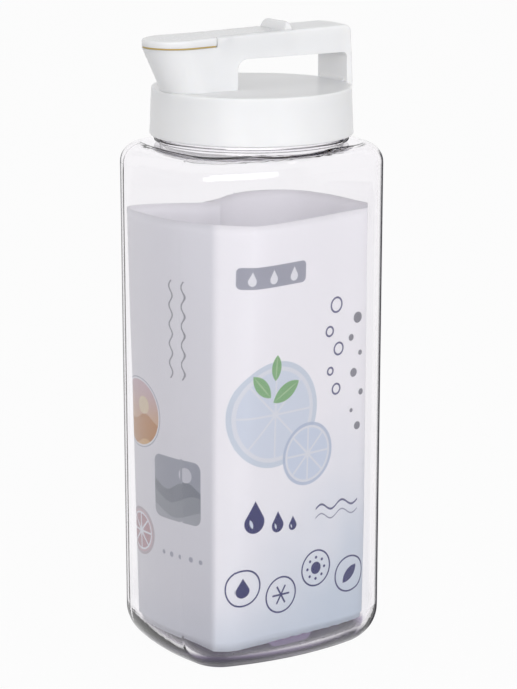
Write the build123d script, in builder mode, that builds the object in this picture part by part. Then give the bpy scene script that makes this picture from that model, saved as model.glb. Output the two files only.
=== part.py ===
from build123d import *
import math
import os

# Square water jug with a screw lid, a pouring spout and a one-touch lever.
# All sizes in millimetres. +Z is up, the jug stands on Z = 0 with its axis on Z.
# The spout points along -X and the leg of the handle stands at +X.

# Clear body
shoulder_height = 239.3
top_length = 112.7
top_width = 96.9
long_side_radius = 142.2
short_side_radius = 126.0
corner_radius = 24.8
body_draft = 0.2
base_radius = 17.6
shoulder_radius = 9.4
body_wall = 2.2
floor_thickness = 3.6

# Round neck with its thread
neck_radius = 42.0
neck_wall = 2.2
neck_height = 21.7
ring_width = 2.6
ring_height = 1.5
ring_rise = 1.1
rim_round = 0.8

# Two-start thread shared by neck and lid
thread_lead = 12.0
thread_starts = 2
thread_sweep = 160.0
thread_root = 2.4
thread_crest = 1.2
thread_depth = 1.6
thread_bite = 0.5
thread_above_shoulder = 10.2
thread_clearance = 0.4

# Silicone ring between neck rim and lid
gasket_thickness = 1.8
gasket_inner_gap = 0.4
gasket_outer_gap = 0.6

# Lid skirt and deck
skirt_gap = 3.9
skirt_lower_wall = 2.7
skirt_upper_wall = 1.7
deck_thickness = 2.2
plug_gap = 0.5
plug_wall = 1.6
plug_depth = 4.0
deck_round = 0.9
skirt_round = 0.8

# Handle bar, its sloping top and its rear leg
bar_half_width = 12.1
bar_underside = 13.65
handle_top = 25.0
handle_rise = 0.025
leg_overhang = 3.5
leg_thickness = 5.0
leg_lean = 3.0
leg_foot_proud = 0.7
handle_rear_round = 3.2
handle_round = 1.2
leg_foot_fillet = 2.2

# Spout column below the lever
seam_height = 19.9
seam_nose_centre = -40.8
seam_nose_radius = 14.3
base_nose_centre = -32.5
base_nose_radius = 13.2
column_rear = -14.6
column_blend = 5.0
step_x = -25.3
cheek_radius = 40.0
spout_wall = 2.0
mouth_rear = -28.3
deck_opening_margin = 1.2

# Lever: flap over the spout, strip in the channel, thumb tab
seal_gap = 0.1
seal_thickness = 0.7
seal_inset = 0.3
seal_plug_depth = 1.2
seal_plug_clearance = 1.0
seal_boss_height = 1.0
seal_boss_inset = 2.6
seal_boss_fit = 0.2
lever_gap = 0.3
step_gap = 0.45
strip_thickness = 2.2
channel_floor = 2.0
channel_front = -22.7
channel_rear = 15.8
channel_wall = 1.5
core_end_wall = 2.7
tab_front = 11.1
tab_top_front = 13.0
tab_top_rear = 13.9
tab_rear = 15.3
tab_height = 3.7
tab_side_round = 3.0
flap_round = 1.0
top_plate = 2.0

# See-saw pivot of the lever
pivot_x = -18.5
pivot_height = 22.3
trunnion_radius = 1.3
trunnion_length = 1.0
trunnion_end_gap = 0.15
trunnion_fit = 0.06
pivot_boss_radius = 2.0

# Display sheet: stiff printed paper rolled up in the jug, and narrower at its foot.
# In plan it runs from the end tucked inside, along the back and round the left side
# to a crease, then along the front, round the right side and back along the rear.
sheet_thickness = 0.4
sheet_bottom = 8.0
sheet_top = 208.8
crease_top = (-37.6, -29.5)
crease_bottom = (-38.6, -29.0)
tucked_run_top = (
    (-4, 20),
    (-14, 22.5),
    (-33, 31),
    (-45, 32),
    (-49.3, 24),
    (-49.3, 6),
    (-45.7, -12.9),
    crease_top,
)
outer_run_top = (
    crease_top,
    (-28, -40.5),
    (-20, -43.4),
    (1.2, -39.8),
    (27, -33.3),
    (44, -29),
    (50, -22),
    (50.5, -6),
    (49, 11.3),
    (43.6, 26.3),
    (36, 33.5),
    (24, 37.4),
    (10, 34),
    (-1, 27.5),
    (-12, 23.4),
)
tucked_run_bottom = (
    (-4, 20),
    (-14, 22.5),
    (-33, 30.5),
    (-42.8, 29.8),
    (-46.4, 22.8),
    (-45.6, 8),
    (-43.1, -8),
    crease_bottom,
)
outer_run_bottom = (
    crease_bottom,
    (-31, -33.2),
    (-20, -33.4),
    (1, -32),
    (25, -30),
    (43, -26.6),
    (46.9, -19.6),
    (47.7, -6),
    (46.7, 10),
    (42.2, 24),
    (35, 30.5),
    (24, 34),
    (10, 31.5),
    (-1, 26.5),
    (-12, 23.4),
)

# Radii that follow from the neck, through the clearances between lid and neck
neck_inner_radius = neck_radius - neck_wall
ring_radius = neck_radius + ring_width
lid_bore_radius = neck_radius + thread_depth + thread_clearance
skirt_radius = lid_bore_radius + skirt_lower_wall
deck_radius = lid_bore_radius + skirt_upper_wall
plug_radius = neck_inner_radius - plug_gap
gasket_inner_radius = plug_radius + gasket_inner_gap
gasket_outer_radius = lid_bore_radius - gasket_outer_gap
deck_opening_radius = plug_radius - plug_wall - deck_opening_margin
leg_base_radius = deck_radius + leg_overhang
leg_foot_radius = skirt_radius + leg_foot_proud
leg_inner = leg_base_radius - leg_thickness
core_rear = leg_inner - core_end_wall

# Heights and widths that follow
rim_height = shoulder_height + neck_height
deck_underside = rim_height + gasket_thickness
deck_height = deck_underside + deck_thickness
skirt_bottom = shoulder_height + skirt_gap
seam_z = deck_height + seam_height
seal_bottom = seam_z + seal_gap
seal_top = seal_bottom + seal_thickness
flap_rear = step_x - step_gap
bar_z = deck_height + bar_underside
floor_z = bar_z + channel_floor
pivot_z = deck_height + pivot_height
channel_half_width = bar_half_width - channel_wall
strip_half_width = channel_half_width - lever_gap
trunnion_tip = strip_half_width + trunnion_length
handle_limit = 40.0
above_all = deck_height + handle_limit

top_plane = Plane(
    origin=(0, 0, deck_height + handle_top), z_dir=(-handle_rise, 0, 1)
)
strip_plane = Plane(
    origin=(0, 0, deck_height + handle_top - strip_thickness),
    z_dir=(-handle_rise, 0, 1),
)
rear_core_plane = Plane(
    origin=(0, 0, deck_height + handle_top - top_plate),
    z_dir=(-handle_rise, 0, 1),
)

os.makedirs("parts", exist_ok=True)


def finish(name, builder):
    """Label a finished piece and write it out."""
    builder.part.label = name
    export_step(builder.part, f"parts/{name}.step")


def jug_outline(inset=0.0):
    """Plan of the jug: the space shared by four wide circles, with round corners."""
    long_side_centre = top_width / 2 - long_side_radius
    short_side_centre = top_length / 2 - short_side_radius
    with BuildSketch(Plane.XY) as outline:
        with Locations((0, long_side_centre)):
            Circle(long_side_radius - inset)
        with Locations((0, -long_side_centre)):
            Circle(long_side_radius - inset, mode=Mode.INTERSECT)
        with Locations((short_side_centre, 0)):
            Circle(short_side_radius - inset, mode=Mode.INTERSECT)
        with Locations((-short_side_centre, 0)):
            Circle(short_side_radius - inset, mode=Mode.INTERSECT)
        fillet(outline.vertices(), corner_radius - inset)
    return outline.sketch


def inner_face_points(points):
    """Points one paper thickness inside the roll, square to the run at each point."""
    moved = []
    for i, point in enumerate(points):
        before = points[max(i - 1, 0)]
        after = points[min(i + 1, len(points) - 1)]
        run_x = after[0] - before[0]
        run_y = after[1] - before[1]
        step = sheet_thickness / math.hypot(run_x, run_y)
        moved.append((point[0] - run_y * step, point[1] + run_x * step))
    return moved


def sheet_section(tucked_run, outer_run, height):
    """Cut through the rolled paper: two soft runs that meet in a crease."""
    inner = inner_face_points(tucked_run + outer_run[1:])
    crease = len(tucked_run) - 1
    with BuildSketch(Plane.XY.offset(height)) as section:
        with BuildLine():
            Spline(tucked_run)
            Spline(outer_run)
            Line(outer_run[-1], inner[-1])
            Spline(inner[crease:])
            Spline(inner[: crease + 1])
            Line(inner[0], tucked_run[0])
        make_face()
    return section.sketch


def spout_outline(nose_centre, nose_radius, inset=0.0):
    """Teardrop plan of the spout: a round nose and cheeks that narrow to the bar."""
    reach = math.hypot(step_x - nose_centre, bar_half_width)
    lean = math.atan2(bar_half_width, step_x - nose_centre)
    touch = lean + math.acos(nose_radius / reach)
    touch_x = nose_centre + nose_radius * math.cos(touch)
    touch_y = nose_radius * math.sin(touch)
    with BuildSketch(Plane.XY) as outline:
        with BuildLine():
            Line((column_rear, -bar_half_width), (column_rear, bar_half_width))
            Line((column_rear, bar_half_width), (step_x, bar_half_width))
            Line((step_x, bar_half_width), (touch_x, touch_y))
            ThreePointArc(
                (touch_x, touch_y), (nose_centre - nose_radius, 0), (touch_x, -touch_y)
            )
            Line((touch_x, -touch_y), (step_x, -bar_half_width))
            Line((step_x, -bar_half_width), (column_rear, -bar_half_width))
        make_face()
        cheeks = [v for v in outline.vertices() if abs(v.X - step_x) < 0.01]
        fillet(cheeks, cheek_radius)
        if inset:
            offset(amount=-inset)
    return outline.sketch


def helical_rib(radius, height, start_angle, outward):
    """One thread start as a swept trapezoid, rooted a little inside its wall."""
    rise = thread_lead * thread_sweep / 360
    tip = thread_depth if outward else -thread_depth
    root = -thread_bite if outward else thread_bite
    with BuildPart() as rib:
        with BuildLine() as path:
            Helix(pitch=thread_lead, height=rise, radius=radius)
        start = Plane(origin=path.line @ 0, x_dir=(1, 0, 0), z_dir=path.line % 0)
        with BuildSketch(start):
            with BuildLine():
                Polyline(
                    (root, -thread_root / 2),
                    (tip, -thread_crest / 2),
                    (tip, thread_crest / 2),
                    (root, thread_root / 2),
                    close=True,
                )
            make_face()
        sweep(is_frenet=True)
    return rib.part.moved(Location((0, 0, height), (0, 0, start_angle)))


neck_thread_z = shoulder_height + thread_above_shoulder
thread_spacing = thread_lead / thread_starts
start_angles = [360 / thread_starts * start for start in range(thread_starts)]

# Clear body: drafted square vessel, round threaded neck
shoulder_plane = Plane(origin=(0, 0, shoulder_height), x_dir=(1, 0, 0), z_dir=(0, 0, -1))
cavity_plane = Plane(
    origin=(0, 0, shoulder_height - body_wall), x_dir=(1, 0, 0), z_dir=(0, 0, -1)
)
with BuildPart() as jug_cavity:
    with BuildSketch(cavity_plane):
        add(jug_outline(body_wall))
    extrude(amount=shoulder_height - body_wall - floor_thickness, taper=body_draft)
    fillet(jug_cavity.faces().sort_by(Axis.Z)[0].edges(), base_radius - body_wall)
    fillet(jug_cavity.faces().sort_by(Axis.Z)[-1].edges(), shoulder_radius - body_wall)

with BuildPart() as jug_body:
    with BuildSketch(shoulder_plane):
        add(jug_outline())
    extrude(amount=shoulder_height, taper=body_draft)
    fillet(jug_body.faces().sort_by(Axis.Z)[0].edges(), base_radius)
    fillet(jug_body.faces().sort_by(Axis.Z)[-1].edges(), shoulder_radius)
    with BuildSketch(Plane.XZ):
        with BuildLine():
            ring_base = shoulder_height + ring_rise
            Polyline(
                (neck_inner_radius - 1, shoulder_height - shoulder_radius),
                (neck_radius, shoulder_height - shoulder_radius),
                (neck_radius, ring_base),
                (ring_radius, ring_base),
                (ring_radius, ring_base + ring_height),
                (neck_radius, ring_base + ring_height),
                (neck_radius, rim_height),
                (neck_inner_radius - 1, rim_height),
                close=True,
            )
        make_face()
    revolve(axis=Axis.Z)
    add(jug_cavity.part, mode=Mode.SUBTRACT)
    with BuildSketch(Plane.XY.offset(shoulder_height - shoulder_radius)):
        Circle(neck_inner_radius)
    extrude(amount=neck_height + shoulder_radius, mode=Mode.SUBTRACT)
    ring_edges = jug_body.edges().filter_by(GeomType.CIRCLE).filter_by(
        lambda e: abs(e.radius - ring_radius) < 0.01
    )
    fillet(ring_edges, ring_height * 0.4)
    rim_edges = jug_body.edges().filter_by(GeomType.CIRCLE).group_by(Axis.Z)[-1]
    fillet(rim_edges, rim_round)
    for angle in start_angles:
        add(helical_rib(neck_radius, neck_thread_z, angle, outward=True))
finish("jug_body", jug_body)

# Gasket: flat silicone ring that seals lid on neck rim
with BuildPart() as lid_gasket:
    with BuildSketch(Plane.XY.offset(rim_height)):
        Circle(gasket_outer_radius)
        Circle(gasket_inner_radius, mode=Mode.SUBTRACT)
    extrude(amount=gasket_thickness)
finish("lid_gasket", lid_gasket)

# Stock outside the round of the rear leg, cut away from the handle
leg_end_radius = leg_base_radius - handle_limit * math.tan(math.radians(leg_lean))
with BuildPart() as leg_trim:
    with Locations((0, 0, skirt_bottom)):
        Box(
            2 * handle_limit,
            2 * handle_limit,
            above_all - skirt_bottom,
            align=(Align.MIN, Align.CENTER, Align.MIN),
        )
    with BuildSketch(Plane.XZ):
        with BuildLine():
            Polyline(
                (0, skirt_bottom),
                (leg_foot_radius, skirt_bottom),
                (leg_base_radius, deck_height),
                (leg_end_radius, above_all),
                (0, above_all),
                close=True,
            )
        make_face()
    revolve(axis=Axis.Z, mode=Mode.SUBTRACT)

# Handle: spout column, bar and rear leg, still without its hollows
with BuildPart() as handle:
    with BuildSketch(Plane.XY.offset(deck_height)):
        add(spout_outline(base_nose_centre, base_nose_radius))
    with BuildSketch(Plane.XY.offset(seam_z)):
        add(spout_outline(seam_nose_centre, seam_nose_radius))
    loft(ruled=True)
    with BuildSketch(Plane.XY.offset(seam_z)):
        add(spout_outline(seam_nose_centre, seam_nose_radius))
        with Locations((step_x, 0)):
            Rectangle(
                handle_limit * 2,
                handle_limit * 2,
                align=(Align.MAX, Align.CENTER),
                mode=Mode.SUBTRACT,
            )
    extrude(amount=above_all - seam_z)
    with BuildSketch(Plane.XZ):
        with BuildLine():
            Polyline(
                (column_rear - 1, bar_z),
                (leg_inner, bar_z),
                (leg_inner, skirt_bottom + skirt_round),
                (leg_base_radius + 1, skirt_bottom + skirt_round),
                (leg_base_radius + 1, above_all),
                (column_rear - 1, above_all),
                close=True,
            )
        make_face()
    extrude(amount=bar_half_width, both=True)
    split(bisect_by=top_plane, keep=Keep.BOTTOM)
    add(leg_trim.part, mode=Mode.SUBTRACT)
    rear_edge = handle.edges().filter_by(
        lambda e: e.center().X > leg_inner + 1
        and abs(e.center().Y) < 0.1
        and e.center().Z > bar_z + handle_rise * leg_inner
    )
    fillet(rear_edge, handle_rear_round)
    side_edges = handle.edges().filter_by(
        lambda e: abs(abs(e.center().Y) - bar_half_width) < 0.1
        and (e.center().Z > deck_height + handle_top - 1 or e.center().X > leg_inner + 1)
        and e.center().X > step_x + 0.5
    )
    fillet(side_edges, handle_round)
    column_corner = handle.edges().filter_by(Axis.Y).filter_by(
        lambda e: abs(e.center().X - column_rear) < 0.1 and abs(e.center().Z - bar_z) < 0.1
    )
    fillet(column_corner, column_blend)
    leg_corner_edge = handle.edges().filter_by(Axis.Y).filter_by(
        lambda e: abs(e.center().X - leg_inner) < 0.1 and abs(e.center().Z - bar_z) < 0.1
    )
    fillet(leg_corner_edge, leg_foot_fillet)

# Hollow of the spout: through the column, then up to the mouth ahead of its rear wall
with BuildPart() as spout_passage:
    with BuildSketch(Plane.XY.offset(deck_height)):
        add(spout_outline(base_nose_centre, base_nose_radius, spout_wall))
    with BuildSketch(Plane.XY.offset(seam_z)):
        add(spout_outline(seam_nose_centre, seam_nose_radius, spout_wall))
    loft(ruled=True)
    with BuildSketch(Plane.XY.offset(bar_z)):
        with Locations((mouth_rear, 0)):
            Rectangle(handle_limit, handle_limit, align=(Align.MIN, Align.CENTER))
    extrude(amount=handle_limit, mode=Mode.SUBTRACT)

# Hollow of the bar behind the channel, under its closed top
with BuildPart() as rear_core:
    with BuildSketch(Plane.XY.offset(floor_z)):
        with Locations((channel_rear - 1, 0)):
            Rectangle(
                core_rear - channel_rear + 1,
                2 * (channel_half_width - 0.5),
                align=(Align.MIN, Align.CENTER),
            )
    extrude(amount=above_all - floor_z)
    split(bisect_by=rear_core_plane, keep=Keep.BOTTOM)

# Lid: skirt, deck, plug ring and thread, with the handle on top and the hollows cut in
with BuildPart() as lid_shell:
    with BuildSketch(Plane.XZ):
        with BuildLine():
            Polyline(
                (0, deck_underside),
                (plug_radius - plug_wall, deck_underside),
                (plug_radius - plug_wall, deck_underside - plug_depth),
                (plug_radius, deck_underside - plug_depth),
                (plug_radius, deck_underside),
                (lid_bore_radius, deck_underside),
                (lid_bore_radius, skirt_bottom),
                (skirt_radius, skirt_bottom),
                (deck_radius, deck_height),
                (0, deck_height),
                close=True,
            )
        make_face()
    revolve(axis=Axis.Z)
    outer_rim = lid_shell.edges().filter_by(GeomType.CIRCLE).filter_by(
        lambda e: abs(e.radius - deck_radius) < 0.01
    )
    fillet(outer_rim, deck_round)
    lower_rim = lid_shell.edges().filter_by(GeomType.CIRCLE).filter_by(
        lambda e: abs(e.radius - skirt_radius) < 0.01
    )
    fillet(lower_rim, skirt_round)
    add(handle.part)
    with BuildSketch(Plane.XZ):
        with Locations((leg_inner, deck_height)):
            Rectangle(leg_foot_fillet, leg_foot_fillet, align=(Align.MAX, Align.MIN))
        with Locations((leg_inner - leg_foot_fillet, deck_height + leg_foot_fillet)):
            Circle(leg_foot_fillet, mode=Mode.SUBTRACT)
    extrude(amount=bar_half_width - leg_foot_fillet, both=True)
    for angle in start_angles:
        thread_z = neck_thread_z - thread_spacing / 2
        add(helical_rib(lid_bore_radius, thread_z, angle, outward=False))
    # The passage starts as a hole in the deck, inside the plug ring
    with BuildSketch(Plane.XY.offset(deck_underside - 1)):
        add(spout_outline(base_nose_centre, base_nose_radius, spout_wall))
        Circle(deck_opening_radius, mode=Mode.INTERSECT)
    extrude(amount=deck_thickness + 1, mode=Mode.SUBTRACT)
    add(spout_passage.part, mode=Mode.SUBTRACT)
    # Channel for the lever, and the core behind it below the closed top
    with BuildSketch(Plane.XY.offset(floor_z)):
        with Locations((channel_front, 0)):
            Rectangle(
                channel_rear - channel_front,
                2 * channel_half_width,
                align=(Align.MIN, Align.CENTER),
            )
    extrude(amount=above_all - floor_z, mode=Mode.SUBTRACT)
    with BuildSketch(Plane.XY.offset(seam_z)):
        with Locations((channel_front, 0)):
            Rectangle(
                channel_front - step_x + 1,
                2 * channel_half_width,
                align=(Align.MAX, Align.CENTER),
            )
    extrude(amount=above_all - seam_z, mode=Mode.SUBTRACT)
    add(rear_core.part, mode=Mode.SUBTRACT)
    with BuildSketch(Plane.XZ):
        with Locations((pivot_x, pivot_z)):
            Circle(trunnion_radius + trunnion_fit)
    extrude(amount=trunnion_tip + trunnion_end_gap, both=True, mode=Mode.SUBTRACT)
finish("lid_shell", lid_shell)

# Lever: flap over the spout mouth, strip in the channel, tab and trunnions
with BuildPart() as lever_strip:
    with BuildSketch(Plane.XY.offset(floor_z)):
        with Locations((flap_rear - 1, 0)):
            Rectangle(
                tab_rear - flap_rear + 1,
                2 * strip_half_width,
                align=(Align.MIN, Align.CENTER),
            )
    extrude(amount=above_all - floor_z)
    split(bisect_by=top_plane, keep=Keep.BOTTOM)
    split(bisect_by=strip_plane, keep=Keep.TOP)

with BuildPart() as spout_lever:
    with BuildSketch(Plane.XY.offset(seal_top)):
        add(spout_outline(seam_nose_centre, seam_nose_radius))
        with Locations((flap_rear, 0)):
            Rectangle(
                handle_limit * 2,
                handle_limit * 2,
                align=(Align.MIN, Align.CENTER),
                mode=Mode.SUBTRACT,
            )
    extrude(amount=above_all - seal_top)
    split(bisect_by=top_plane, keep=Keep.BOTTOM)
    flap_top = spout_lever.faces().sort_by(Axis.Z)[-1]
    nose_edges = flap_top.edges().filter_by(lambda e: e.center().X < flap_rear - 0.1)
    fillet(nose_edges, flap_round)
    with BuildSketch(Plane.XY.offset(seal_top)):
        add(spout_outline(seam_nose_centre, seam_nose_radius, seal_boss_inset))
        with Locations((flap_rear - seal_boss_inset, 0)):
            Rectangle(
                handle_limit * 2,
                handle_limit * 2,
                align=(Align.MIN, Align.CENTER),
                mode=Mode.SUBTRACT,
            )
    extrude(amount=seal_boss_height + seal_boss_fit, mode=Mode.SUBTRACT)
    add(lever_strip.part)
    with BuildSketch(Plane.XZ):
        with BuildLine():
            tab_base = deck_height + handle_top - strip_thickness / 2
            tab_top = deck_height + handle_top + handle_rise * tab_front + tab_height
            Polyline(
                (tab_front, tab_base),
                (tab_front, deck_height + handle_top + handle_rise * tab_front),
                (tab_top_front, tab_top),
                (tab_top_rear, tab_top),
                (tab_rear, deck_height + handle_top + handle_rise * tab_rear),
                (tab_rear, tab_base),
                close=True,
            )
        make_face()
    extrude(amount=strip_half_width, both=True)
    tab_ends = spout_lever.edges().filter_by(Axis.X).filter_by(
        lambda e: abs(e.center().Z - tab_top) < 0.05
    )
    fillet(tab_ends, tab_side_round)
    with BuildSketch(Plane.XZ):
        with Locations((pivot_x, pivot_z)):
            Circle(pivot_boss_radius)
    extrude(amount=strip_half_width, both=True)
    with BuildSketch(Plane.XZ):
        with Locations((pivot_x, pivot_z)):
            Circle(trunnion_radius)
    extrude(amount=trunnion_tip, both=True)
finish("spout_lever", spout_lever)

# Seal under the flap: a plate on the spout rim, a plug in the mouth, a boss in the flap
with BuildPart() as spout_seal:
    with BuildSketch(Plane.XY.offset(seal_bottom)):
        add(spout_outline(seam_nose_centre, seam_nose_radius, seal_inset))
        with Locations((flap_rear - seal_inset, 0)):
            Rectangle(
                handle_limit * 2,
                handle_limit * 2,
                align=(Align.MIN, Align.CENTER),
                mode=Mode.SUBTRACT,
            )
    extrude(amount=seal_thickness)
    with BuildSketch(Plane.XY.offset(seal_top)):
        boss_inset = seal_boss_inset + seal_boss_fit
        add(spout_outline(seam_nose_centre, seam_nose_radius, boss_inset))
        with Locations((flap_rear - boss_inset, 0)):
            Rectangle(
                handle_limit * 2,
                handle_limit * 2,
                align=(Align.MIN, Align.CENTER),
                mode=Mode.SUBTRACT,
            )
    extrude(amount=seal_boss_height)
    with BuildSketch(Plane.XY.offset(seal_bottom)):
        plug_inset = spout_wall + seal_plug_clearance
        add(spout_outline(seam_nose_centre, seam_nose_radius, plug_inset))
        with Locations((mouth_rear - seal_plug_clearance, 0)):
            Rectangle(
                handle_limit * 2,
                handle_limit * 2,
                align=(Align.MIN, Align.CENTER),
                mode=Mode.SUBTRACT,
            )
    extrude(amount=-seal_plug_depth - seal_gap)
finish("spout_seal", spout_seal)

# Display sheet: one roll of paper, open at its two upright ends
with BuildPart() as display_sheet:
    add(sheet_section(tucked_run_bottom, outer_run_bottom, sheet_bottom))
    add(sheet_section(tucked_run_top, outer_run_top, sheet_top))
    loft(ruled=True)
finish("display_sheet", display_sheet)
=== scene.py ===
import math

import bmesh
import bpy
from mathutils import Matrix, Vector


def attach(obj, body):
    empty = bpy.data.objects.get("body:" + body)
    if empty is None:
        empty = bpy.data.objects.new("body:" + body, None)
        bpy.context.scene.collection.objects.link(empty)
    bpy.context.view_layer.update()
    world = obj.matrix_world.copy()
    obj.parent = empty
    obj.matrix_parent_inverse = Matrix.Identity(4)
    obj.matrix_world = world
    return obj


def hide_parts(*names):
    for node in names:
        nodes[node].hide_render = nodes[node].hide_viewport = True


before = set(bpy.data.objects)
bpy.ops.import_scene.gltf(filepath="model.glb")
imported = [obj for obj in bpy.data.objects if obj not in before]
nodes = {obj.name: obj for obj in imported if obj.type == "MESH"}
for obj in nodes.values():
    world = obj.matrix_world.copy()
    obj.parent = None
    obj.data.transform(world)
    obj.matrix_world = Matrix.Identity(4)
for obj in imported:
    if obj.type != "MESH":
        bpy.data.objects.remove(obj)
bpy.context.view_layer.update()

# Camera, fitted to the photograph
CAM_POS = Vector((-0.62593, -1.00790, 0.42041))
CAM_DIR = Vector((0.5160, 0.8259, -0.2272))
SENSOR = 36.0
LENS = 136.54
cam_data = bpy.data.cameras.new("camera")
cam_data.sensor_width = SENSOR
cam_data.lens = LENS
cam_data.clip_start = 0.01
bpy.context.scene.view_settings.view_transform = "Standard"
cam = bpy.data.objects.new("camera", cam_data)
cam.location = CAM_POS
cam.rotation_euler = CAM_DIR.to_track_quat("-Z", "Y").to_euler()
bpy.context.scene.collection.objects.link(cam)
bpy.context.scene.camera = cam


# Node helpers
class Nodes:
    """Small helper that adds and links shader nodes."""

    def __init__(self, material):
        self.tree = material.node_tree
        self.tree.nodes.clear()

    def add(self, kind, **values):
        node = self.tree.nodes.new(kind)
        for key, value in values.items():
            setattr(node, key, value)
        return node

    def link(self, a, b):
        self.tree.links.new(a, b)

    def feed(self, socket, value):
        if isinstance(value, bpy.types.NodeSocket):
            self.link(value, socket)
        else:
            socket.default_value = value

    def math(self, operation, a, b=0.0, c=0.0):
        node = self.add("ShaderNodeMath", operation=operation)
        for socket, value in zip(node.inputs, (a, b, c)):
            self.feed(socket, value)
        return node.outputs[0]

    def mix(self, factor, a, b):
        node = self.add("ShaderNodeMix", data_type="RGBA")
        self.feed(node.inputs["Factor"], factor)
        self.feed(node.inputs["A"], a)
        self.feed(node.inputs["B"], b)
        return node.outputs["Result"]

    def ramp(self, value, low, high):
        """0 up to low, 1 from high on, smooth between; low may be the larger of the two."""
        node = self.add("ShaderNodeMapRange", interpolation_type="SMOOTHSTEP")
        self.feed(node.inputs["Value"], value)
        node.inputs["From Min"].default_value = low
        node.inputs["From Max"].default_value = high
        return node.outputs["Result"]


def new_material(name):
    material = bpy.data.materials.new(name)
    material.use_nodes = True
    return material, Nodes(material)


def fine_bump(n, shader, scale, strength, distance=0.0002):
    """Fine grain on a surface; gives back the grain's value."""
    place = n.add("ShaderNodeTexCoord")
    noise = n.add("ShaderNodeTexNoise")
    noise.inputs["Scale"].default_value = scale
    noise.inputs["Detail"].default_value = 3.0
    n.link(place.outputs["Object"], noise.inputs["Vector"])
    bump = n.add("ShaderNodeBump")
    bump.inputs["Strength"].default_value = strength
    bump.inputs["Distance"].default_value = distance
    n.link(noise.outputs["Fac"], bump.inputs["Height"])
    n.link(bump.outputs["Normal"], shader.inputs["Normal"])
    return noise.outputs["Fac"]


def white_plastic(name, colour, roughness):
    """Moulded plastic that lets a little light through, with faint uneven tone."""
    material, n = new_material(name)
    shader = n.add("ShaderNodeBsdfPrincipled")
    out = n.add("ShaderNodeOutputMaterial")
    n.link(shader.outputs[0], out.inputs["Surface"])
    grain = fine_bump(n, shader, 1500, 0.05, distance=0.00006)
    place = n.add("ShaderNodeTexCoord")
    broad = n.add("ShaderNodeTexNoise")
    broad.inputs["Scale"].default_value = 35
    broad.inputs["Detail"].default_value = 2
    n.link(place.outputs["Object"], broad.inputs["Vector"])
    darker = tuple(c * 0.965 for c in colour) + (1,)
    tone = n.mix(n.ramp(broad.outputs["Fac"], 0.3, 0.75), colour + (1,), darker)
    n.link(tone, shader.inputs["Base Color"])
    spread = n.math("MULTIPLY_ADD", grain, 0.08, roughness - 0.04)
    n.link(spread, shader.inputs["Roughness"])
    shader.inputs["IOR"].default_value = 1.49
    shader.inputs["Subsurface Weight"].default_value = 0.45
    shader.inputs["Subsurface Radius"].default_value = (1.0, 0.95, 0.85)
    shader.inputs["Subsurface Scale"].default_value = 0.006
    return material


def silicone(name, colour, roughness):
    """Soft matt rubber."""
    material, n = new_material(name)
    shader = n.add("ShaderNodeBsdfPrincipled")
    out = n.add("ShaderNodeOutputMaterial")
    n.link(shader.outputs[0], out.inputs["Surface"])
    grain = fine_bump(n, shader, 1400, 0.18)
    tone = n.mix(grain, tuple(c * 0.92 for c in colour) + (1,), colour + (1,))
    n.link(tone, shader.inputs["Base Color"])
    n.link(n.math("MULTIPLY_ADD", grain, 0.2, roughness - 0.1), shader.inputs["Roughness"])
    shader.inputs["Subsurface Weight"].default_value = 0.2
    shader.inputs["Subsurface Scale"].default_value = 0.0015
    return material


# Heights in metres between which painted shade darkens the jug's foot, for its glass and its
# skin
FOOT_PAINTED_SHADE = (0.0080, 0.0042)
SOLE_PAINTED_SHADE = (0.0045, 0.0015)


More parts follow.
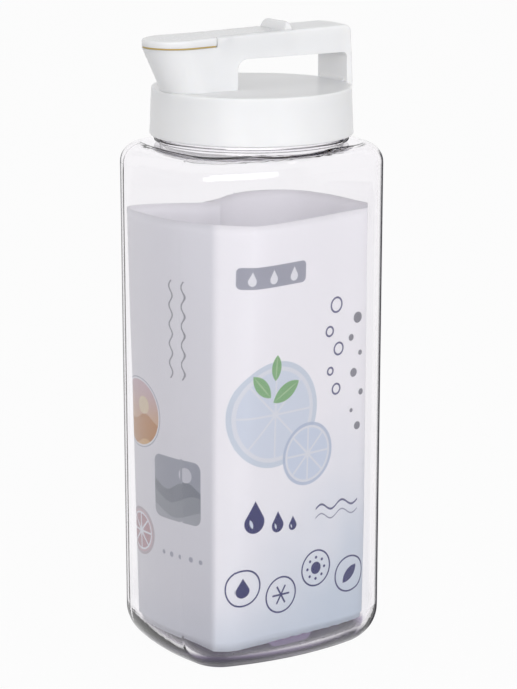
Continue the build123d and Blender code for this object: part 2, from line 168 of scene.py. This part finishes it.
def clear_plastic(name):
    """Clear moulding with a painted dark reflection along its corners seen edge on, and painted
    shade on its foot.
    """
    material, n = new_material(name)
    shader = n.add("ShaderNodeBsdfPrincipled")
    place = n.add("ShaderNodeTexCoord")
    smear = n.add("ShaderNodeTexNoise")
    smear.inputs["Scale"].default_value = 60
    smear.inputs["Detail"].default_value = 4
    n.link(place.outputs["Object"], smear.inputs["Vector"])
    n.link(n.math("MULTIPLY", smear.outputs["Fac"], 0.03), shader.inputs["Roughness"])
    flow = n.add("ShaderNodeTexNoise")
    flow.inputs["Scale"].default_value = 22
    flow.inputs["Detail"].default_value = 1
    n.link(place.outputs["Object"], flow.inputs["Vector"])
    bump = n.add("ShaderNodeBump")
    bump.inputs["Strength"].default_value = 0.05
    bump.inputs["Distance"].default_value = 0.0004
    n.link(flow.outputs["Fac"], bump.inputs["Height"])
    n.link(bump.outputs["Normal"], shader.inputs["Normal"])
    # Which way the surface really faces, seen from either side of it: outer is 1 on the
    # jug's outside and 0 on its inside, and rise is how far the surface looks up
    shape = n.add("ShaderNodeNewGeometry")
    normal = n.add("ShaderNodeSeparateXYZ")
    n.link(shape.outputs["Normal"], normal.inputs[0])
    spot = n.add("ShaderNodeSeparateXYZ")
    n.link(place.outputs["Object"], spot.inputs[0])
    sign = n.math("MULTIPLY_ADD", shape.outputs["Backfacing"], -2.0, 1.0)
    lean_x = n.math("MULTIPLY", normal.outputs[0], spot.outputs[0])
    lean = n.math("MULTIPLY_ADD", normal.outputs[1], spot.outputs[1], lean_x)
    outer = n.ramp(n.math("MULTIPLY", lean, sign), 0.0, 0.004)
    rise = n.math("MULTIPLY", normal.outputs[2], sign)
    # Painted dark reflection: upright outer walls darken at the outline, the flat shoulder only
    # a little
    rim = n.add("ShaderNodeLayerWeight")
    level = n.ramp(n.math("ABSOLUTE", rise), 0.45, 0.9)
    upright = n.math("MULTIPLY_ADD", level, -0.8, 1.0)
    upright = n.math("MULTIPLY", upright, outer)
    edge = n.math("MULTIPLY", n.ramp(rim.outputs["Facing"], 0.76, 0.96), upright)
    # Painted shade: looked at edge on, the thick foot is dark and a little violet
    foot = n.ramp(spot.outputs[2], *FOOT_PAINTED_SHADE)
    painted_sole_shade = n.math("MULTIPLY", n.ramp(spot.outputs[2], *SOLE_PAINTED_SHADE), outer)
    # The painted dark reflection line is drawn on the rounded corners alone, not on the flat
    # sides; near the sole it carries painted shade
    askew = n.math("ABSOLUTE", n.math("MULTIPLY", normal.outputs[0], normal.outputs[1]))
    corner = n.math("MULTIPLY", n.ramp(askew, 0.22, 0.42), upright)
    painted_outline = n.math("MULTIPLY", n.ramp(rim.outputs["Facing"], 0.64, 0.82), corner)
    painted_outline = n.math("MULTIPLY", painted_outline, 0.92)
    painted_outline = n.math("MAXIMUM", painted_outline, n.math("MULTIPLY", painted_sole_shade, 0.85))
    painted_dark_colour = n.mix(edge, (0.99, 0.99, 0.995, 1), (0.03, 0.025, 0.05, 1))
    painted_dark_colour = n.mix(foot, painted_dark_colour, (0.15, 0.11, 0.22, 1))
    n.link(painted_dark_colour, shader.inputs["Base Color"])
    shader.inputs["IOR"].default_value = 1.50
    shader.inputs["Transmission Weight"].default_value = 1.0
    # Light passes the clear wall on its way to the sheet inside
    path = n.add("ShaderNodeLightPath")
    through = n.add("ShaderNodeBsdfTransparent")
    through.inputs["Color"].default_value = (0.98, 0.98, 0.985, 1)
    choose = n.add("ShaderNodeMixShader")
    wants = n.math("MAXIMUM", path.outputs["Is Shadow Ray"], path.outputs["Is Diffuse Ray"])
    n.link(wants, choose.inputs[0])
    # Colour of the painted dark line, more violet near the sole, where it is painted shade
    dark = n.add("ShaderNodeBsdfDiffuse")
    painted_line_colour = n.mix(painted_sole_shade, (0.02, 0.018, 0.03, 1), (0.03, 0.020, 0.07, 1))
    n.link(painted_line_colour, dark.inputs["Color"])
    lined = n.add("ShaderNodeMixShader")
    n.link(painted_outline, lined.inputs[0])
    n.link(shader.outputs[0], lined.inputs[1])
    n.link(dark.outputs[0], lined.inputs[2])
    n.link(lined.outputs[0], choose.inputs[1])
    n.link(through.outputs[0], choose.inputs[2])
    volume = n.add("ShaderNodeVolumeAbsorption")
    volume.inputs["Color"].default_value = (0.66, 0.50, 0.68, 1)
    volume.inputs["Density"].default_value = 20.0
    out = n.add("ShaderNodeOutputMaterial")
    n.link(choose.outputs[0], out.inputs["Surface"])
    n.link(volume.outputs[0], out.inputs["Volume"])
    return material


# Print on the sheet. MM is a millimetre in metres, and PLAN_UNIT the millimetres of sheet
# for one unit of its plan map
MM = 0.001
PLAN_UNIT = 100.0


class Print:
    """Flat motifs laid over each other on the unrolled sheet, sizes in millimetres."""

    def __init__(self, n, u, v, ground):
        self.n = n
        self.u = u
        self.v = v
        self.colour = ground

    def lay(self, mask, colour, strength=1.0):
        if strength != 1.0:
            mask = self.n.math("MULTIPLY", mask, strength)
        value = colour if isinstance(colour, bpy.types.NodeSocket) else colour + (1,)
        self.colour = self.n.mix(mask, self.colour, value)

    def inside(self, distance, soft=0.25):
        """1 inside the motif, where its distance is negative, and 0 outside."""
        return self.n.ramp(self.n.math("MULTIPLY", distance, -1.0), -soft, soft)

    def local(self, x, y, angle=0.0):
        """Place on the sheet as seen from a motif's centre and turned with it."""
        n = self.n
        du = n.math("SUBTRACT", self.u, x)
        dv = n.math("SUBTRACT", self.v, y)
        if not angle:
            return du, dv
        c, s = math.cos(angle), math.sin(angle)
        p = n.math("ADD", n.math("MULTIPLY", du, c), n.math("MULTIPLY", dv, s))
        q = n.math("SUBTRACT", n.math("MULTIPLY", dv, c), n.math("MULTIPLY", du, s))
        return p, q

    def length(self, p, q):
        n = self.n
        return n.math("SQRT", n.math("ADD", n.math("MULTIPLY", p, p), n.math("MULTIPLY", q, q)))

    def disc(self, x, y, radius):
        p, q = self.local(x, y)
        return self.n.math("SUBTRACT", self.length(p, q), radius)

    def ring(self, x, y, radius, width):
        n = self.n
        gap = n.math("ABSOLUTE", self.disc(x, y, radius))
        return n.math("SUBTRACT", gap, width / 2)

    def panel(self, x, y, width, height, corner, angle=0.0):
        """Rectangle with round corners."""
        n = self.n
        p, q = self.local(x, y, angle)
        p = n.math("SUBTRACT", n.math("ABSOLUTE", p), width / 2 - corner)
        q = n.math("SUBTRACT", n.math("ABSOLUTE", q), height / 2 - corner)
        outer = self.length(n.math("MAXIMUM", p, 0.0), n.math("MAXIMUM", q, 0.0))
        inner = n.math("MINIMUM", n.math("MAXIMUM", p, q), 0.0)
        return n.math("SUBTRACT", n.math("ADD", outer, inner), corner)

    def leaf(self, x, y, length, width, angle):
        """Pointed oval: the space two equal discs share."""
        n = self.n
        radius = (length * length / 4 + width * width / 4) / width
        p, q = self.local(x, y, angle)
        q = n.math("ADD", n.math("ABSOLUTE", q), radius - width / 2)
        return n.math("SUBTRACT", self.length(p, q), radius)

    def drop(self, x, y, size, angle=0.0):
        """Water drop: a disc with a pointed cap above it."""
        n = self.n
        p, q = self.local(x, y, angle)
        ball = n.math("SUBTRACT", self.length(p, q), size)
        slope = n.math("MULTIPLY", n.math("ABSOLUTE", p), 0.87)
        cone = n.math("SUBTRACT", n.math("ADD", slope, n.math("MULTIPLY", q, 0.5)), size)
        above = n.math("SUBTRACT", size * 0.5, q)
        return n.math("MINIMUM", ball, n.math("MAXIMUM", cone, above))

    def wave(self, x, y, width, rise, period, thick, angle=0.0):
        """Wavy band, width long and thick high."""
        n = self.n
        p, q = self.local(x, y, angle)
        turn = n.math("MULTIPLY", p, 2 * math.pi / period)
        swing = n.math("MULTIPLY", n.math("SINE", turn), rise)
        off = n.math("ABSOLUTE", n.math("SUBTRACT", q, swing))
        line = n.math("SUBTRACT", off, thick / 2)
        ends = n.math("SUBTRACT", n.math("ABSOLUTE", p), width / 2)
        return n.math("MAXIMUM", line, ends)


NAVY = (0.012, 0.014, 0.150)
INK = (0.13, 0.13, 0.17)
STEEL = (0.40, 0.41, 0.48)
MIST = (0.63, 0.71, 0.80)
ICE = (0.72, 0.78, 0.87)
MINT = (0.20, 0.46, 0.16)
PALE_MINT = (0.42, 0.62, 0.36)
AMBER = (0.52, 0.23, 0.06)
HONEY = (0.68, 0.42, 0.16)
BLUSH = (0.62, 0.46, 0.50)
PAPER = (0.985, 0.98, 1.0)


def citrus(p, x, y, radius, rind, flesh):
    """A slice of fruit: rind, pale pith and wedges."""
    n = p.n
    p.lay(p.inside(p.disc(x, y, radius)), rind, 0.85)
    p.lay(p.inside(p.disc(x, y, radius * 0.90)), (0.80, 0.83, 0.88))
    du, dv = p.local(x, y)
    turn = n.math("ARCTAN2", dv, du)
    wedge = n.math("ABSOLUTE", n.math("SINE", n.math("MULTIPLY", turn, 4.0)))
    span = p.length(du, dv)
    gap = n.math("MULTIPLY", n.math("MULTIPLY", span, wedge), 0.25)
    cell = n.math("SUBTRACT", 0.45, gap)
    p.lay(p.inside(n.math("MAXIMUM", cell, p.disc(x, y, radius * 0.82))), flesh)


# Motifs of the print, in millimetres from the crease and from the sheet's foot
BUBBLES = (
    (80, 150, 2.6), (76, 141, 1.6), (82, 133, 1.2), (78, 124, 2.1),
    (83, 114, 1.5), (77, 106, 1.0), (81, 98, 1.9),
)
BUBBLE_RINGS = ((66, 158, 3.4), (62, 146, 2.2), (68, 137, 2.8), (63, 127, 1.7), (67, 118, 2.4))
LEAVES = ((36, 122, 17, 7.5, 0.5), (22, 126, 15, 6.5, 2.3), (30, 134, 12, 5.5, 1.5))
DARK_DROPS = ((20, 62, 5.2), (33, 58.5, 3.4), (42, 56.8, 2.3))
DROP_SIGN = (15, 31)
STAR_SIGN = (36, 24)
SUN_SIGN = (57, 33)
LEAF_SIGN = (78, 26)
SUNSET = (-50, 106, 15.5)
HILLS = (-23, 74)


def front_print(p):
    """Front of the sheet: band, bubbles, fruit, drops and four round signs."""
    # Grey band with three drops, above on the left
    p.lay(p.inside(p.panel(27, 177, 38, 10, 2.2)), STEEL)
    for x in (15, 27, 39):
        p.lay(p.inside(p.drop(x, 175.6, 2.2)), (0.86, 0.87, 0.9))
    # Rising bubbles on the right
    for x, y, radius in BUBBLES:
        p.lay(p.inside(p.disc(x, y, radius)), INK, 0.85)
    for x, y, radius in BUBBLE_RINGS:
        p.lay(p.inside(p.ring(x, y, radius, 0.9), 0.2), NAVY, 0.9)
    # Two pale slices with leaves, in the middle
    citrus(p, 30, 112, 25, MIST, ICE)
    citrus(p, 50, 90, 15, (0.50, 0.58, 0.72), (0.68, 0.75, 0.86))
    for x, y, length, width, angle in LEAVES:
        p.lay(p.inside(p.leaf(x, y, length, width, angle)), MINT, 0.9)
        p.lay(p.inside(p.leaf(x, y, length * 0.86, 0.8, angle)), PALE_MINT)
    # Dark drops with a glint each, and two waves beside them
    for x, y, size in DARK_DROPS:
        p.lay(p.inside(p.drop(x, y, size)), NAVY)
        glint = p.leaf(x - size * 0.35, y - size * 0.1, size * 0.9, size * 0.3, 1.9)
        p.lay(p.inside(glint), ICE)
    p.lay(p.inside(p.wave(69, 62, 26, 1.6, 13, 1.0)), NAVY, 0.9)
    p.lay(p.inside(p.wave(69, 57.5, 26, 1.6, 13, 0.6)), NAVY, 0.7)
    # Four round signs in a zigzag
    for x, y in (DROP_SIGN, STAR_SIGN, SUN_SIGN, LEAF_SIGN):
        p.lay(p.inside(p.ring(x, y, 8.6, 0.8), 0.2), NAVY)
    x, y = DROP_SIGN
    p.lay(p.inside(p.drop(x, y - 1.5, 3.2)), NAVY)
    x, y = STAR_SIGN
    for k in range(3):
        p.lay(p.inside(p.panel(x, y, 10, 0.9, 0.4, k * math.pi / 3)), NAVY)
    x, y = SUN_SIGN
    p.lay(p.inside(p.disc(x, y, 3.0)), NAVY)
    for k in range(8):
        turn = k * math.pi / 4
        spot = p.disc(x + 5.2 * math.cos(turn), y + 5.2 * math.sin(turn), 0.7)
        p.lay(p.inside(spot), NAVY)
    x, y = LEAF_SIGN
    p.lay(p.inside(p.leaf(x, y, 11, 5, 0.8)), NAVY)


def left_print(p):
    """Left side of the sheet: waves, a round sunset, hills in a panel, and a slice."""
    n = p.n
    for x in (-18, -25):
        p.lay(p.inside(p.wave(x, 150, 46, 1.0, 9, 0.9, math.pi / 2)), INK, 0.7)
    sky = n.mix(n.ramp(p.v, 92.0, 122.0), HONEY + (1,), BLUSH + (1,))
    p.lay(p.inside(p.disc(*SUNSET)), sky)
    sea = p.wave(SUNSET[0], 98, 60, 2.0, 21, 12)
    p.lay(p.inside(n.math("MAXIMUM", sea, p.disc(*SUNSET))), AMBER, 0.9)
    p.lay(p.inside(p.disc(-46, 110, 4.2)), (0.74, 0.62, 0.44))
    p.lay(p.inside(p.ring(SUNSET[0], SUNSET[1], 16.6, 0.5), 0.2), STEEL)
    frame_panel = p.panel(*HILLS, 30, 30, 4)
    p.lay(p.inside(frame_panel), (0.36, 0.38, 0.44))
    for k, rise in enumerate((10, 4, -3)):
        hill = p.wave(HILLS[0] + 4 * k, 58 + rise, 80, 2.6, 26 + 5 * k, 16)
        shade = 0.22 + 0.10 * k
        colour = (shade, shade + 0.02, shade + 0.06)
        p.lay(p.inside(n.math("MAXIMUM", hill, frame_panel)), colour, 0.9)
    p.lay(p.inside(p.disc(-17, 82, 3.6)), (0.62, 0.63, 0.68))
    p.lay(p.inside(p.disc(-51, 48, 11.5)), (0.50, 0.44, 0.48))
    citrus(p, -51, 48, 10.2, BLUSH, (0.50, 0.30, 0.34))
    for k in range(5):
        p.lay(p.inside(p.disc(-32 + 6 * k, 42, 1.1 + 0.2 * (k % 2))), STEEL)


def sheet_print(name):
    """Paper printed on its outer face, which lets some light through."""
    material, n = new_material(name)
    shader = n.add("ShaderNodeBsdfPrincipled")
    out = n.add("ShaderNodeOutputMaterial")
    shader.inputs["Specular IOR Level"].default_value = 0.15
    glow = n.add("ShaderNodeBsdfTranslucent")
    body = n.add("ShaderNodeMixShader")
    body.inputs[0].default_value = 0.33
    n.link(shader.outputs[0], body.inputs[1])
    n.link(glow.outputs[0], body.inputs[2])
    n.link(body.outputs[0], out.inputs["Surface"])
    plan = n.add("ShaderNodeUVMap", uv_map="plan")
    split = n.add("ShaderNodeSeparateXYZ")
    n.link(plan.outputs[0], split.inputs[0])
    u = n.math("MULTIPLY", split.outputs[0], PLAN_UNIT)
    v = n.math("MULTIPLY", split.outputs[1], PLAN_UNIT)
    cloud = n.add("ShaderNodeTexNoise")
    cloud.inputs["Scale"].default_value = 3.5
    cloud.inputs["Detail"].default_value = 2
    n.link(plan.outputs[0], cloud.inputs["Vector"])
    fade = n.math("ADD", v, n.math("MULTIPLY", cloud.outputs["Fac"], 60.0))
    low = n.ramp(fade, 150.0, 20.0)
    right = n.ramp(n.math("ADD", u, n.math("MULTIPLY", v, -0.35)), -40.0, 80.0)
    ground = n.mix(n.math("MULTIPLY", low, right), PAPER + (1,), MIST + (1,))
    ground = n.mix(n.math("MULTIPLY", n.ramp(v, 30.0, 0.0), 0.5), ground, MIST + (1,))
    # Painted shade: the side left of the crease is greyer, most of all at its foot
    painted_shade_strength = n.math("MULTIPLY_ADD", n.ramp(v, 120.0, 0.0), 0.20, 0.48)
    painted_left_shade = n.math("MULTIPLY", n.ramp(u, 3.0, -3.0), painted_shade_strength)
    ground = n.mix(painted_left_shade, ground, (0.60, 0.61, 0.66, 1))
    p = Print(n, u, v, ground)

    front_print(p)
    left_print(p)

    fibre = n.add("ShaderNodeTexNoise")
    fibre.inputs["Scale"].default_value = 160
    fibre.inputs["Detail"].default_value = 5
    n.link(plan.outputs[0], fibre.inputs["Vector"])
    speck = n.math("MULTIPLY_ADD", fibre.outputs["Fac"], 0.10, -0.05)
    toned = n.add("ShaderNodeHueSaturation")
    n.link(n.math("ADD", 1.0, speck), toned.inputs["Value"])
    n.link(p.colour, toned.inputs["Color"])
    # The back of the paper stays unprinted
    face = n.add("ShaderNodeAttribute", attribute_name="printed")
    back = n.mix(fibre.outputs["Fac"], (0.93, 0.92, 0.945, 1), (0.98, 0.97, 0.995, 1))
    colour = n.mix(face.outputs["Fac"], back, toned.outputs[0])
    n.link(colour, shader.inputs["Base Color"])
    n.link(colour, glow.inputs["Color"])
    n.link(n.math("MULTIPLY_ADD", fibre.outputs["Fac"], 0.2, 0.55), shader.inputs["Roughness"])
    bump = n.add("ShaderNodeBump")
    bump.inputs["Strength"].default_value = 0.15
    bump.inputs["Distance"].default_value = 0.0001
    n.link(fibre.outputs["Fac"], bump.inputs["Height"])
    n.link(bump.outputs["Normal"], shader.inputs["Normal"])
    return material


# The rolled sheet
# Plan of the sheet in mm, from its inner free end round to its outer free end
SHEET_TOP = (
    (-4, 20), (-14, 22.5), (-33, 31), (-45, 32), (-49.3, 24), (-49.3, 6), (-45.7, -12.9),
    (-37.6, -29.5), (-28, -40.5), (-20, -43.4), (1.2, -39.8), (27, -33.3), (44, -29),
    (50, -22), (50.5, -6), (49, 11.3), (43.6, 26.3), (36, 33.5), (24, 37.4), (10, 34),
    (-1, 27.5), (-12, 23.4),
)
SHEET_BOTTOM = (
    (-4, 20), (-14, 22.5), (-33, 30.5), (-42.8, 29.8), (-46.4, 22.8), (-45.6, 8), (-43.1, -8),
    (-38.6, -29.0), (-31, -33.2), (-20, -33.4), (1, -32.0), (25, -30), (43, -26.6),
    (46.9, -19.6), (47.7, -6), (46.7, 10), (42.2, 24), (35, 30.5), (24, 34), (10, 31.5),
    (-1, 26.5), (-12, 23.4),
)
CREASE = 7
SHEET_LOW = 8.0
SHEET_HIGH = 208.8
SHEET_THICK = 0.25


def smooth_line(points, per_span, sharp):
    """Points of a soft curve through the given ones, tight at the sharp ones."""
    line = []
    count = len(points)
    for i in range(count - 1):
        p1, p2 = Vector(points[i]), Vector(points[i + 1])
        p0 = Vector(points[i - 1]) if i > 0 else p1 * 2 - p2
        p3 = Vector(points[i + 2]) if i + 2 < count else p2 * 2 - p1
        m1 = (p2 - p0) / 2
        m2 = (p3 - p1) / 2
        if i in sharp:
            m1 = (p2 - p1) * 0.8
        if i + 1 in sharp:
            m2 = (p2 - p1) * 0.8
        for k in range(per_span):
            t = k / per_span
            line.append(
                p1 * (2 * t**3 - 3 * t**2 + 1)
                + m1 * (t**3 - 2 * t**2 + t)
                + p2 * (-2 * t**3 + 3 * t**2)
                + m2 * (t**3 - t**2)
            )
    line.append(Vector(points[-1]))
    return line


def build_sheet():
    """Open roll with two skins, mapped as if laid flat from its crease."""
    per_span = 8
    rows = 40
    top = smooth_line(SHEET_TOP, per_span, {CREASE})
    bottom = smooth_line(SHEET_BOTTOM, per_span, {CREASE})
    middle = [(a + b) / 2 for a, b in zip(top, bottom)]
    run = [0.0]
    for a, b in zip(middle, middle[1:]):
        run.append(run[-1] + (b - a).length)
    start = run[CREASE * per_span]
    mesh = bpy.data.meshes.new("display_sheet_print")
    bm = bmesh.new()
    plan = bm.loops.layers.uv.new("plan")
    printed = bm.faces.layers.float.new("printed_face")
    skins = []
    for side in (0, 1):
        skin = []
        for r in range(rows + 1):
            t = r / rows
            line = [b.lerp(a, t) for a, b in zip(top, bottom)]
            z = SHEET_LOW + (SHEET_HIGH - SHEET_LOW) * t
            ring = []
            for i, q in enumerate(line):
                before = line[max(i - 1, 0)]
                after = line[min(i + 1, len(line) - 1)]
                along = (after - before).normalized()
                normal = Vector((along.y, -along.x))
                place = q - normal * SHEET_THICK * side
                ring.append(bm.verts.new((place.x * MM, place.y * MM, z * MM)))
            skin.append(ring)
        skins.append(skin)
    count = len(top)

    def quad(verts, corners, side):
        face = bm.faces.new(verts)
        face.smooth = True
        face[printed] = side
        for loop, (i, r) in zip(face.loops, corners):
            height = (SHEET_HIGH - SHEET_LOW) * r / rows
            loop[plan].uv = ((run[i] - start) / PLAN_UNIT, height / PLAN_UNIT)
        return face

    for side, skin in enumerate(skins):
        for r in range(rows):
            for i in range(count - 1):
                corners = [(i, r), (i + 1, r), (i + 1, r + 1), (i, r + 1)]
                if side:
                    corners.reverse()
                quad([skin[b][a] for a, b in corners], corners, 1 - side)
    outer, inner = skins
    for r, flip in ((0, False), (rows, True)):
        for i in range(count - 1):
            verts = [outer[r][i + 1], outer[r][i], inner[r][i], inner[r][i + 1]]
            corners = [(i + 1, r), (i, r), (i, r), (i + 1, r)]
            if flip:
                verts.reverse()
                corners.reverse()
            quad(verts, corners, 0).smooth = False
    for i, flip in ((0, False), (count - 1, True)):
        for r in range(rows):
            verts = [outer[r][i], outer[r + 1][i], inner[r + 1][i], inner[r][i]]
            corners = [(i, r), (i, r + 1), (i, r + 1), (i, r)]
            if flip:
                verts.reverse()
                corners.reverse()
            quad(verts, corners, 0).smooth = False
    bm.normal_update()
    bm.to_mesh(mesh)
    flags = [f[printed] for f in bm.faces]
    bm.free()
    attribute = mesh.attributes.new("printed", "FLOAT", "CORNER")
    for polygon in mesh.polygons:
        for loop in polygon.loop_indices:
            attribute.data[loop].value = flags[polygon.index]
    sheet = bpy.data.objects.new("rolled_sheet", mesh)
    bpy.context.scene.collection.objects.link(sheet)
    return sheet


def dress(node, material):
    """Give a CAD node its material."""
    mesh = nodes[node].data
    mesh.materials.clear()
    mesh.materials.append(material)


white = white_plastic("white_moulding", (0.81, 0.812, 0.82), 0.30)
lever_white = white_plastic("white_lever", (0.80, 0.802, 0.815), 0.26)
dress("lid_shell", white)
dress("spout_lever", lever_white)
dress("spout_seal", silicone("ochre_silicone", (0.50, 0.36, 0.11), 0.5))
dress("lid_gasket", silicone("clear_silicone", (0.72, 0.72, 0.70), 0.45))
dress("jug_body", clear_plastic("clear_moulding"))

sheet = build_sheet()
sheet.data.materials.append(sheet_print("printed_sheet"))
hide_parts("display_sheet")
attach(sheet, "jug")

# Floor and background
floor_mesh = bpy.data.meshes.new("floor")
floor_mesh.from_pydata([(-6, -6, 0), (6, -6, 0), (6, 6, 0), (-6, 6, 0)], [], [(0, 1, 2, 3)])
floor = bpy.data.objects.new("floor", floor_mesh)
bpy.context.scene.collection.objects.link(floor)
floor_material, n = new_material("floor")
# Seen directly the floor is white paper; for all other rays it is pale grey
ground = n.add("ShaderNodeBsdfDiffuse")
ground.inputs["Color"].default_value = (0.64, 0.64, 0.64, 1)
glow = n.add("ShaderNodeEmission")
glow.inputs["Strength"].default_value = 1.0
place = n.add("ShaderNodeTexCoord")
spot = n.add("ShaderNodeSeparateXYZ")
n.link(place.outputs["Object"], spot.inputs[0])
# Painted shadow under the jug, whose thick foot shows it: the floor there is dark and a little
# violet
off = []
for axis, half in enumerate((0.036, 0.028)):
    away = n.math("SUBTRACT", n.math("ABSOLUTE", spot.outputs[axis]), half)
    away = n.math("MAXIMUM", away, 0.0)
    off.append(n.math("MULTIPLY", away, away))
painted_floor_shadow = n.ramp(n.math("SQRT", n.math("ADD", *off)), 0.016, 0.004)
path = n.add("ShaderNodeLightPath")
seen = n.math("MAXIMUM", path.outputs["Is Camera Ray"], path.outputs["Is Glossy Ray"])
seen = n.math("MAXIMUM", seen, path.outputs["Is Transmission Ray"])
painted_floor_shadow = n.math("MULTIPLY", painted_floor_shadow, path.outputs["Is Transmission Ray"])
n.link(n.mix(painted_floor_shadow, (1, 1, 1, 1), (0.12, 0.10, 0.17, 1)), glow.inputs["Color"])
share = n.math("MULTIPLY", seen, 0.95)
blend = n.add("ShaderNodeMixShader")
n.link(share, blend.inputs[0])
n.link(ground.outputs[0], blend.inputs[1])
n.link(glow.outputs[0], blend.inputs[2])
out = n.add("ShaderNodeOutputMaterial")
n.link(blend.outputs[0], out.inputs["Surface"])
floor_mesh.materials.append(floor_material)

world = bpy.data.worlds.new("studio")
bpy.context.scene.world = world
world.use_nodes = True
n = Nodes(world)
path = n.add("ShaderNodeLightPath")
seen = n.math("MAXIMUM", path.outputs["Is Camera Ray"], path.outputs["Is Glossy Ray"])
seen = n.math("MAXIMUM", seen, path.outputs["Is Transmission Ray"])
back = n.add("ShaderNodeBackground")
back.inputs["Color"].default_value = (1, 1, 1, 1)
# Less light from straight above than from the sides
aim = n.add("ShaderNodeTexCoord")
height = n.add("ShaderNodeSeparateXYZ")
n.link(aim.outputs["Generated"], height.inputs[0])
soft = n.math("MULTIPLY_ADD", n.ramp(height.outputs[2], 0.2, 1.0), -0.26, 0.80)
strength = n.math("MAXIMUM", soft, seen)
n.link(strength, back.inputs["Strength"])
out = n.add("ShaderNodeOutputWorld")
n.link(back.outputs[0], out.inputs["Surface"])


def lamp(name, place, target, size, power):
    """Soft rectangular lamp aimed at a point."""
    data = bpy.data.lights.new(name, "AREA")
    data.shape = "RECTANGLE"
    data.size, data.size_y = size
    data.energy = power
    obj = bpy.data.objects.new(name, data)
    obj.location = place
    obj.rotation_euler = (Vector(target) - Vector(place)).to_track_quat("-Z", "Y").to_euler()
    bpy.context.scene.collection.objects.link(obj)


lamp("key", (-0.42, -1.58, 0.68), (0, 0, 0.16), (2.2, 0.9), 15.6)
lamp("fill", (-1.2, -0.9, 0.34), (0, 0, 0.2), (0.6, 0.5), 2.0)
